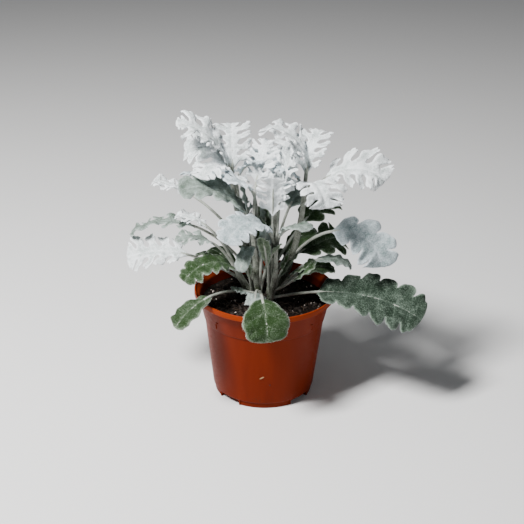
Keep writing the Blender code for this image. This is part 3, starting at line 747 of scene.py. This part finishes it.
# The last rows of each stem are small leaves: young ones by its tip, and dark narrow ones in
# the middle of the plant, where little light comes
LEAVES = {
    "shoot_right": [
        ("spoon", 0.05, 14, 47, 76, 0, 0.024, 0.034, 0.0110, 10, "green"),
        ("spoon", 0.12, 7, 50, 94, -5, 0.038, 0.033, 0.0090, 5, "silver"),
        ("broad", 0.42, 350, 51, 138, -16, 0.044, 0.056, 0.0190, 50, "frost"),
        ("lobed", 0.90, 354, 61, 110, -5, 0.029, 0.054, 0.0220, 35, "white"),
        ("lobed", 0.90, 285, 70, 150, 10, 0.024, 0.042, 0.0190, 0, "white"),
        ("feather", 1.00, 162, 101, 132, 0, 0.023, 0.056, 0.0200, 0, "white"),
        ("feather", 1.00, 60, 88, 60, 0, 0.018, 0.038, 0.0150, 0, "white"),
        ("feather", 1.00, 200, 74, 90, 0, 0.014, 0.026, 0.0100, 0, "frost"),
        ("feather", 1.00, 240, 66, 120, 0, 0.010, 0.022, 0.0085, 20, "white"),
        ("spoon", 0.02, 196, 84, 12, 0, 0.040, 0.034, 0.0060, 0, "green"),
        ("spoon", 0.06, 330, 60, 40, 0, 0.016, 0.026, 0.0070, 0, "green"),
    ],
    "shoot_back_right": [
        ("spoon", 0.08, 85, 28, 70, 0, 0.036, 0.040, 0.0130, 0, "green"),
        ("broad", 0.30, 25, 24, 30, 12, 0.030, 0.044, 0.0190, 30, "green"),
        ("wavy", 0.08, 66, 74, 112, 0, 0.074, 0.058, 0.0190, 0, "silver"),
        ("broad", 0.30, 40, 48, 44, 14, 0.052, 0.040, 0.0170, 20, "green"),
        ("lobed", 0.85, 95, 76, 110, 0, 0.034, 0.058, 0.0200, 0, "frost"),
        ("feather", 1.00, 60, 92, 70, 0, 0.022, 0.050, 0.0170, 0, "white"),
        ("spoon", 0.03, 225, 86, 14, 0, 0.046, 0.036, 0.0075, 20, "green"),
        ("spoon", 0.05, 130, 62, 50, 0, 0.024, 0.034, 0.0120, 0, "green"),
        ("spoon", 0.05, 35, 66, 50, 0, 0.030, 0.036, 0.0130, 0, "green"),
    ],
    "shoot_back_left": [
        ("lobed", 0.15, 174, 54, 98, -2, 0.071, 0.059, 0.0120, 0, "silver"),
        ("spoon", 0.10, 135, 30, 70, 0, 0.036, 0.040, 0.0130, 0, "green"),
        ("lobed", 0.40, 171, 55, 52, -4, 0.072, 0.033, 0.0130, 0, "white"),
        ("lobed", 0.12, 128, 78, 108, 0, 0.080, 0.058, 0.0200, 0, "frost"),
        ("lobed", 0.80, 228, 97, 144, -2, 0.050, 0.030, 0.0150, 0, "white"),
        ("broad", 0.90, 179, 94, 137, -18, 0.036, 0.043, 0.0190, -30, "white"),
        ("feather", 0.95, 183, 86, 84, 5, 0.030, 0.058, 0.0220, -15, "white"),
        ("feather", 1.00, 95, 88, 80, 0, 0.022, 0.044, 0.0160, 0, "white"),
        ("feather", 1.00, 318, 74, 70, 0, 0.022, 0.028, 0.0105, 0, "frost"),
        ("feather", 1.00, 290, 78, 110, 0, 0.014, 0.022, 0.0085, -20, "white"),
        ("spoon", 0.04, 80, 70, 46, 0, 0.028, 0.036, 0.0120, 0, "green"),
        ("spoon", 0.02, 300, 86, 10, 0, 0.050, 0.034, 0.0065, 0, "silver"),
    ],
    "shoot_left": [
        ("spoon", 0.12, 230, 27, 80, -13, 0.052, 0.040, 0.0120, 0, "green"),
        ("wavy", 0.35, 228, 66, 130, -28, 0.028, 0.053, 0.0130, -25, "green"),
        ("lobed", 0.70, 177, 32, 60, 1, 0.051, 0.052, 0.0190, -30, "white"),
        ("lobed", 0.90, 192, 66, 87, 5, 0.037, 0.034, 0.0120, 0, "silver"),
        ("lobed", 1.00, 162, 67, 73, 2, 0.047, 0.028, 0.0110, 0, "white"),
        ("spoon", 0.02, 150, 56, 50, 0, 0.024, 0.034, 0.0110, 0, "green"),
        ("spoon", 0.05, 250, 70, 30, 0, 0.026, 0.028, 0.0060, 0, "green"),
    ],
    "shoot_front_left": [
        ("spoon", 0.08, 271, 39, 128, 12, 0.046, 0.040, 0.0190, 0, "green"),
        ("spoon", 0.10, 200, 20, 0, 0, 0.009, 0.016, 0.0060, 0, "silver"),
        ("spoon", 0.30, 262, 92, 165, -15, 0.046, 0.034, 0.0065, 0, "silver"),
        ("spoon", 0.40, 178, 84, 9, 0, 0.057, 0.030, 0.0090, 0, "silver"),
        ("broad", 0.60, 196, 90, 116, -10, 0.049, 0.062, 0.0195, -16, "silver"),
        ("lobed", 1.00, 224, 104, 110, 0, 0.047, 0.027, 0.0125, -10, "frost"),
        ("feather", 0.95, 60, 96, 50, 0, 0.052, 0.036, 0.0140, 0, "white"),
        ("lobed", 0.12, 265, 38, 74, 0, 0.026, 0.016, 0.0080, 20, "silver"),
        ("feather", 1.00, 150, 84, 70, 0, 0.016, 0.024, 0.0085, 0, "silver"),
        ("spoon", 0.05, 290, 84, 20, 0, 0.040, 0.034, 0.0060, 0, "silver"),
        ("spoon", 0.03, 320, 80, 26, 0, 0.030, 0.030, 0.0055, 0, "green"),
    ],
    "shoot_front_right": [
        ("wavy", 0.08, 352, 16, 45, -13, 0.042, 0.090, 0.0245, 38, "sage"),
        ("spoon", 0.30, 332, 34, -20, 50, 0.023, 0.024, 0.0080, 0, "green"),
        ("lobed", 0.20, 268, 86, 14, 0, 0.078, 0.034, 0.0140, 0, "white"),
        ("spoon", 0.30, 306, 98, 105, 5, 0.059, 0.037, 0.0100, 0, "silver"),
        ("feather", 1.00, 20, 91, 19, 0, 0.058, 0.046, 0.0180, 0, "white"),
        ("wavy", 0.90, 224, 92, 152, 2, 0.042, 0.055, 0.0150, -20, "frost"),
        ("spoon", 0.04, 250, 80, 24, 0, 0.038, 0.032, 0.0055, 0, "green"),
        ("spoon", 0.04, 30, 70, 30, 0, 0.022, 0.026, 0.0060, 0, "green"),
    ],
}

Cut = namedtuple("Cut", "lobes sinus lean outline widest fullness end fold curl ruffle")
ROUND_LOBE = ((0.22, 0.42), (0.14, 0.60), (0.05, 0.78), (0.09, 0.94), (0.25, 0.99), (0.35, 0.96),
              (0.44, 1.05), (0.58, 1.07), (0.66, 0.98), (0.78, 0.99), (0.90, 0.88), (0.86, 0.68),
              (0.78, 0.46))
WAVY_LOBE = ((0.08, 0.80), (0.20, 0.93), (0.36, 1.00), (0.52, 1.05), (0.68, 1.00), (0.84, 0.90),
             (0.94, 0.78))
TOOTHED_LOBE = ((0.26, 0.40), (0.19, 0.56), (0.08, 0.72), (0.03, 0.88), (0.14, 0.99),
                (0.30, 0.98), (0.40, 0.90), (0.48, 0.93), (0.55, 1.04), (0.68, 1.08),
                (0.82, 1.00), (0.88, 0.86), (0.82, 0.78), (0.81, 0.64), (0.76, 0.44))
SMOOTH_LOBE = ((0.25, 1.0), (0.5, 1.0), (0.75, 1.0))
CUTS = {
    "spoon": Cut(3, 0.98, 0.0, SMOOTH_LOBE, 0.60, 0.75, 0.24, 0.10, 0.30, 0.0006),
    "wavy": Cut(5, 0.66, 0.25, WAVY_LOBE, 0.50, 0.55, 0.20, 0.16, 0.40, 0.0014),
    "broad": Cut(3, 0.50, 0.35, WAVY_LOBE, 0.50, 0.50, 0.26, 0.18, 0.40, 0.0014),
    "lobed": Cut(4, 0.28, 0.45, ROUND_LOBE, 0.50, 0.45, 0.22, 0.22, 0.45, 0.0020),
    "feather": Cut(4, 0.22, 0.50, TOOTHED_LOBE, 0.48, 0.45, 0.20, 0.30, 0.55, 0.0020),
}
END_OUTLINES = {
    "spoon": ((0.20, 0.98), (0.40, 0.96), (0.60, 0.84), (0.78, 0.66), (0.90, 0.44), (0.98, 0.20)),
    "wavy": ((0.12, 0.86), (0.24, 0.96), (0.38, 1.00), (0.54, 0.88), (0.64, 0.78), (0.76, 0.76),
             (0.90, 0.50), (0.98, 0.22)),
    "broad": ((0.10, 0.84), (0.22, 0.95), (0.36, 0.98), (0.52, 0.88), (0.68, 0.80), (0.84, 0.60),
              (0.95, 0.32)),
    "lobed": ((0.08, 0.62), (0.12, 0.80), (0.26, 0.88), (0.40, 0.80), (0.48, 0.66), (0.60, 0.74),
              (0.76, 0.66), (0.86, 0.44), (0.97, 0.24)),
    "feather": ((0.20, 0.46), (0.26, 0.60), (0.38, 0.58), (0.44, 0.40), (0.54, 0.42),
                (0.66, 0.56), (0.80, 0.48), (0.86, 0.30), (0.97, 0.20)),
}
TONES = ("white", "frost", "silver", "sage", "green", "stem")


class LeafSurface:
    """Maps a flat place on a leaf, (along, across, above), to its place on the plant."""

    SAMPLES = 48
    BEYOND = 1.15

    def __init__(self, root, leaf):
        self.leaf = leaf
        self.length = leaf.stalk + leaf.blade
        self.points = [Vector(root)]
        step = self.length * self.BEYOND / self.SAMPLES
        for number in range(self.SAMPLES):
            ahead = self.frame_at((number + 0.5) / self.SAMPLES * self.BEYOND)[0]
            self.points.append(self.points[-1] + ahead * step)

    def frame_at(self, share):
        """Ahead, left and up at a share of the leaf's length."""
        leaf = self.leaf
        share = max(share, 0.0)
        rise = math.radians(leaf.rise - leaf.droop * share ** DROOP_POWER)
        azimuth = math.radians(leaf.azimuth + leaf.sweep * share)
        ahead = Vector((math.cos(rise) * math.cos(azimuth), math.cos(rise) * math.sin(azimuth),
                        math.sin(rise)))
        level = Vector((-math.sin(azimuth), math.cos(azimuth), 0))
        above = ahead.cross(level)
        roll = math.radians(leaf.roll) * share
        left = level * math.cos(roll) + above * math.sin(roll)
        return ahead, left, above * math.cos(roll) - level * math.sin(roll)

    def place(self, along, across, above):
        share = along / self.length
        spot = min(max(share / self.BEYOND * self.SAMPLES, 0), self.SAMPLES - 0.001)
        low = int(spot)
        middle = self.points[low].lerp(self.points[low + 1], spot - low)
        _, left, up = self.frame_at(share)
        return middle + left * across + up * above


def uneven(*numbers):
    """A steady value from -1 to 1 that looks random, drawn from the given numbers."""
    value = math.sin(sum(number * scale for number, scale in zip(numbers, (12.9, 78.2, 37.7))))
    value *= 43758.5
    return 2 * (value - math.floor(value)) - 1


def half_width(cut, share):
    """Half width of a blade at a share of its length, as a share of its widest."""
    swell = math.log(0.5) / math.log(cut.widest)
    share = min(max(share, 0.0), 1.0)
    return math.sin(math.pi * (0.06 + 0.88 * share ** swell)) ** cut.fullness


def curved(points, pieces):
    """A closed outline drawn smoothly through its points."""
    count = len(points)
    result = []
    for number in range(count):
        p0, p1, p2, p3 = (np.array(points[(number + step) % count]) for step in (-1, 0, 1, 2))
        for step in range(pieces):
            t = step / pieces
            spot = 0.5 * (2 * p1 + (p2 - p0) * t + (2 * p0 - 5 * p1 + 4 * p2 - p3) * t * t
                          + (3 * p1 - p0 - 3 * p2 + p3) * t ** 3)
            result.append(tuple(spot))
    return np.array(result)


def gaps_from(outline, places):
    """How far each place is from the nearest point of an outline."""
    return np.sqrt(((places[:, None] - outline[None]) ** 2).sum(2).min(1))


def places_inside(outline):
    """Places of an even triangle grid inside an outline, clear of its points."""
    low, high = outline.min(0), outline.max(0)
    rows = []
    for row, across in enumerate(np.arange(low[1], high[1], GRID * math.sqrt(3) / 2)):
        shift = GRID / 2 if row % 2 else 0
        rows += [(along + shift, across) for along in np.arange(low[0], high[0], GRID)]
    grid = np.array(rows)
    inside = np.zeros(len(grid), bool)
    for (x0, y0), (x1, y1) in zip(outline, np.roll(outline, -1, axis=0)):
        if y0 == y1:
            continue
        crossing = (grid[:, 1] >= min(y0, y1)) & (grid[:, 1] < max(y0, y1))
        inside ^= crossing & (grid[:, 0] < x0 + (grid[:, 1] - y0) * (x1 - x0) / (y1 - y0))
    grid = grid[inside]
    return grid[gaps_from(outline, grid) > GRID * GRID_CLEAR]


class FineLeaf:
    """One leaf: a smooth lobed blade with sunken veins over a keeled stalk and midrib."""

    def __init__(self, plant, root, leaf, seed):
        self.plant = plant
        self.leaf = leaf
        self.cut = CUTS[leaf.kind]
        self.seed = seed
        self.surface = LeafSurface(root, leaf)
        self.end_length = leaf.blade * self.cut.end
        self.spacing = (leaf.blade - self.end_length) / self.cut.lobes
        self.uppers = []
        self.lowers = []
        self.rim = {}

    def midrib_half(self, along):
        return PETIOLE_HALF + (MIDRIB_HALF - PETIOLE_HALF) * along / self.surface.length

    def base(self, number):
        """Where a lobe starts along the leaf, with the midrib's half and the blade's width there."""
        leaf = self.leaf
        along = leaf.stalk + number * self.spacing
        half = self.midrib_half(along)
        width = (leaf.half - half) * half_width(self.cut, (along - leaf.stalk) / leaf.blade)
        return along, half, width

    def lobe_point(self, number, side, along_share, out_share):
        cut, leaf = self.cut, self.leaf
        start, half, _ = self.base(number)
        along = start + self.spacing * along_share
        blade_share = start + self.spacing / 2 if cut.lean else along
        blade_share = (blade_share - leaf.stalk) / leaf.blade
        width = (leaf.half - half) * half_width(cut, blade_share)
        if cut.lean:
            width *= 1 + LOBE_UNEVEN * uneven(self.seed, number, side)
        out = width * out_share
        return along + out * cut.lean, side * (half + out)

    def sinus_point(self, number, side):
        along, half, width = self.base(number)
        out = width * (self.cut.sinus if number else min(self.cut.sinus, 0.5))
        return along + out * self.cut.lean, side * (half + out)

    def side_path(self, side):
        """The blade's edge up one side, from its stalk to just short of its tip."""
        cut, leaf = self.cut, self.leaf
        path = [(leaf.stalk - 0.002, side * self.midrib_half(leaf.stalk) * 0.6)]
        for number in range(cut.lobes):
            path.append(self.sinus_point(number, side))
            path += [self.lobe_point(number, side, *spot) for spot in cut.outline]
        path.append(self.sinus_point(cut.lobes, side))
        along, half, width = self.base(cut.lobes)
        for far, out in END_OUTLINES[leaf.kind]:
            ahead = width * out * cut.lean
            ahead += (self.end_length - ahead) * far
            path.append((along + ahead, side * (half + width * out)))
        return path

    def vein_turn(self, along, across):
        """Where a place is between two side veins, from -0.5 to 0.5, with the vein at 0."""
        turn = (along - abs(across) * (self.cut.lean or VEIN_LEAN) - self.leaf.stalk) / self.spacing
        return turn - math.floor(turn) - 0.5

    def vein(self, along, across):
        """How near a place is to the midrib or a side vein, from 0 to 1."""
        out = abs(across)
        gap = abs(self.vein_turn(along, across)) * self.spacing
        fading = min(1.0, max(0.0, 1.15 - out / self.leaf.half))
        side_vein = math.exp(-(gap / VEIN_WIDTH) ** 2) * fading
        midrib = math.exp(-(out / MIDRIB_WIDTH) ** 2)
        return max(midrib, 0.75 * side_vein)

    def height(self, along, across, edge_gap):
        """How far the blade's middle layer rises: fold, ruffle, veins, rumples and edge."""
        cut, half = self.cut, self.leaf.half
        out = abs(across) / half
        side = 1 if across > 0 else -1
        wave = math.sin(along * RUFFLE_TURNS + self.seed + side)
        wave += math.sin(along * RUFFLE_TURNS * RUFFLE_SLOWER + 2 * self.seed - side) / 2
        above = half * cut.fold * out * (1 - cut.curl * out) + cut.ruffle * out * wave
        above -= VEIN_DEPTH * self.vein(along, across)
        spot = Vector((along * RUMPLE_SCALE, across * RUMPLE_SCALE, self.seed * 3.7))
        above += RUMPLE_HEIGHT * noise.noise(spot) * min(1.0, out * 2)
        above += FINE_RUMPLE_HEIGHT * noise.noise(spot * RUMPLE_FINER)
        arch = math.cos(2 * math.pi * self.vein_turn(along, across))
        above -= ARCH_HEIGHT * arch * min(1.0, out * 1.5)
        return above - EDGE_CURL * math.exp(-edge_gap / EDGE_CURL_WIDTH)

    def add_blade(self, finish):
        """Two skins over a flat net of triangles, joined by a band along their rim."""
        tip = (self.leaf.stalk + self.leaf.blade, 0.0)
        outline = curved(self.side_path(1) + [tip] + self.side_path(-1)[::-1], 3)
        net = [Vector(place) for place in np.vstack([outline, places_inside(outline)])]
        edges = [(number, (number + 1) % len(outline)) for number in range(len(outline))]
        net, _, triangles, _, _, _ = delaunay_2d_cdt(net, edges, [], 1, 1e-6)
        places = np.array([tuple(place) for place in net])
        shade = 0.5 + 0.5 * uneven(self.seed, 3.3)
        for (along, across), edge_gap in zip(places, gaps_from(outline, places)):
            above = self.height(along, across, edge_gap)
            thick = BLADE_THICKNESS / 2 * (0.55 + 0.45 * min(1.0, edge_gap / EDGE_ROUND))
            edge = math.exp(-edge_gap / 0.0009)
            vein = self.vein(along, across)
            for skin, lift, under in ((self.uppers, thick, 0.0), (self.lowers, -thick, 1.0)):
                place = self.surface.place(along, across, above + lift)
                skin.append(self.plant.add(place, edge, vein, under, shade))
        for a, b, c in triangles:
            first, second = places[b] - places[a], places[c] - places[a]
            if first[0] * second[1] - first[1] * second[0] < 0:
                b, c = c, b
            self.plant.face([self.uppers[corner] for corner in (a, b, c)], finish)
            self.plant.face([self.lowers[corner] for corner in (c, b, a)], finish)
            for start, stop in ((a, b), (b, c), (c, a)):
                if (stop, start) in self.rim:
                    del self.rim[stop, start]
                else:
                    self.rim[start, stop] = True
        for start, stop in self.rim:
            self.plant.face((self.lowers[start], self.lowers[stop], self.uppers[stop],
                             self.uppers[start]), finish)

    def add_stalk(self, finish):
        """Stalk and midrib: flat and grooved above, keeled below, in one slim tube."""
        length = self.surface.length
        stop = length - self.end_length * 0.35
        steps = max(12, int(stop / STALK_STEP))
        sections = []
        for step in range(steps + 1):
            along = stop * step / steps
            share = along / length
            half = self.midrib_half(along)
            keel = PETIOLE_KEEL + (MIDRIB_KEEL - PETIOLE_KEEL) * share
            in_blade = min(1.0, max(0.0, (along - self.leaf.stalk) / 0.006))
            close = 1.0 - 0.75 * max(0.0, (along - stop + STALK_CLOSE) / STALK_CLOSE)
            top = BLADE_THICKNESS / 2 + 0.0004 * (1 - in_blade) - 0.0006 * in_blade
            section = []
            for number in range(STALK_SIDES):
                angle = 2 * math.pi * number / STALK_SIDES + math.pi / STALK_SIDES
                lift = math.sin(angle)
                above = top * lift if lift > 0 else keel * lift * close
                place = self.surface.place(along, half * math.cos(angle) * close, above)
                # The shade value rises towards the stalk's root, darkening it there: partly sparser
                # old felt, partly painted shade.
                section.append(self.plant.add(place, 0.3, 0.5, 1.0, 0.7 * (1 - share)))
            sections.append(section)
        skin(sections, lambda corners: self.plant.face(corners, finish))


def felt(name, tissue, felt_colour, cover, tuft, blotch, sheen, under=0.35, bare_and_shade=0.10):
    """Green tissue under a felt of white hairs, thicker on edges, veins and undersides.

    The felt thins where the shade value is high, by the last share: low on stems and stalks this is
    partly sparser old felt and partly painted shade, and on blades it is a tone that differs at
    random.
    """
    material, tree, sockets = new_material(name, felt_colour, 0.92)
    tufts = link_range(tree, link_noise(tree, 1500, 4), 0.35, 0.68, -1.0, 1.0)
    patches = link_range(tree, link_noise(tree, 130, 3), 0.3, 0.7, -1.0, 1.0)
    amount = link_sum(tree, "MULTIPLY_ADD", tufts, tuft, cover)
    amount = link_sum(tree, "MULTIPLY_ADD", patches, blotch, amount)
    shares = {"edge": 0.75, "vein": 0.30, "under": under, "shade": -bare_and_shade}
    for attribute, share in shares.items():
        node = tree.nodes.new("ShaderNodeAttribute")
        node.attribute_name = attribute
        amount = link_sum(tree, "MULTIPLY_ADD", node.outputs["Fac"], share, amount)
    amount = link_range(tree, amount, 0.0, 1.0)
    tree.links.new(link_mix(tree, amount, tissue, felt_colour), sockets["Base Color"])
    hairs = link_noise(tree, 2600, 5, (1.0, 0.45, 1.0))
    rough = link_bump(tree, hairs, 0.60, 0.0005)
    tree.links.new(link_bump(tree, patches, 0.35, 0.0010, rough), sockets["Normal"])
    sockets["Sheen Weight"].default_value = sheen
    sockets["Sheen Roughness"].default_value = 0.55
    sockets["Specular IOR Level"].default_value = 0.20
    return material


FELTS = [
    felt("white_felt", (0.20, 0.26, 0.24), (0.82, 0.86, 0.88), 0.66, 0.34, 0.28, 0.15),
    felt("frost_felt", (0.10, 0.155, 0.15), (0.54, 0.61, 0.65), 0.52, 0.36, 0.26, 0.10),
    felt("silver_felt", (0.038, 0.062, 0.040), (0.30, 0.355, 0.33), 0.42, 0.36, 0.24, 0.04),
    felt("sage_felt", (0.010, 0.021, 0.012), (0.19, 0.25, 0.20), 0.12, 0.40, 0.22, 0.01),
    felt("green_felt", (0.012, 0.032, 0.006), (0.25, 0.31, 0.23), 0.05, 0.32, 0.14, 0.02),
    # Dark tissue and a large last share darken stems towards their foot: partly sparser old felt,
    # partly painted shade.
    felt("stem_felt", (0.028, 0.036, 0.016), (0.44, 0.46, 0.41), 0.66, 0.28, 0.25, 0.06, 0.0, 0.62),
]


def spike(shape, foot, reach):
    """A closed three-sided spike, much slimmer than it is long."""
    side = reach.cross(Vector((0.31, 0.52, 0.79))).normalized() * HAIR_HALF
    other = reach.cross(side).normalized() * HAIR_HALF
    base = [shape.verts.new(foot + side), shape.verts.new(foot - side * 0.5 + other * 0.87),
            shape.verts.new(foot - side * 0.5 - other * 0.87)]
    tip = shape.verts.new(foot + reach)
    shape.faces.new(base[::-1])
    for step in range(3):
        shape.faces.new((base[step], base[(step + 1) % 3], tip))


def blade_hairs(shape, leaf, draw):
    """Short hairs that stand out from a blade's edge, each a slim pointed spike."""
    points = leaf.plant.points
    for first, second in leaf.rim:
        upper, lower = Vector(points[leaf.uppers[first]]), Vector(points[leaf.lowers[first]])
        start = (upper + lower) / 2
        stop = (Vector(points[leaf.uppers[second]]) + Vector(points[leaf.lowers[second]])) / 2
        along = stop - start
        if along.length < 1e-6:
            continue
        along.normalize()
        thick = (upper - lower).normalized()
        out = along.cross(thick).normalized()
        for _ in range(HAIRS_TO_AN_EDGE):
            foot = start.lerp(stop, draw.random())
            lean = out + along * draw.uniform(-0.5, 0.5) + thick * draw.uniform(-0.6, 0.6)
            spike(shape, foot - out * 0.0001, lean.normalized() * draw.uniform(*HAIR_LENGTHS))


hair_material = grain_material("leaf_hair", (0.50, 0.54, 0.54), (0.80, 0.83, 0.84), 0.9, 300)
for shoot_number, (shoot_name, shoot_stem) in enumerate(STEMS.items()):
    shoot_mesh = PlantMesh()
    add_stem(shoot_mesh, shoot_stem, TONES.index("stem"))
    hair_shape = bmesh.new()
    hair_draw = random.Random(100 + shoot_number)
    for leaf_number, leaf_row in enumerate(LEAVES[shoot_name]):
        leaf_form = Leaf(*leaf_row)
        leaf_root = stem_point(shoot_stem, leaf_form.up)
        fine_leaf = FineLeaf(shoot_mesh, leaf_root, leaf_form, shoot_number * 10 + leaf_number)
        fine_leaf.add_blade(TONES.index(leaf_form.tone))
        fine_leaf.add_stalk(TONES.index("stem"))
        blade_hairs(hair_shape, fine_leaf, hair_draw)
    shoot = add_piece(shoot_name + "_leaves", shoot_mesh.mesh(shoot_name + "_leaves", FELTS))
    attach(shoot, "root")
    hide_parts(shoot_name)
    hair_mesh = mesh_from(shoot_name + "_hairs", hair_shape)
    hair_mesh.materials.append(hair_material)
    hairs = add_piece(shoot_name + "_hairs", hair_mesh)
    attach(hairs, "root")
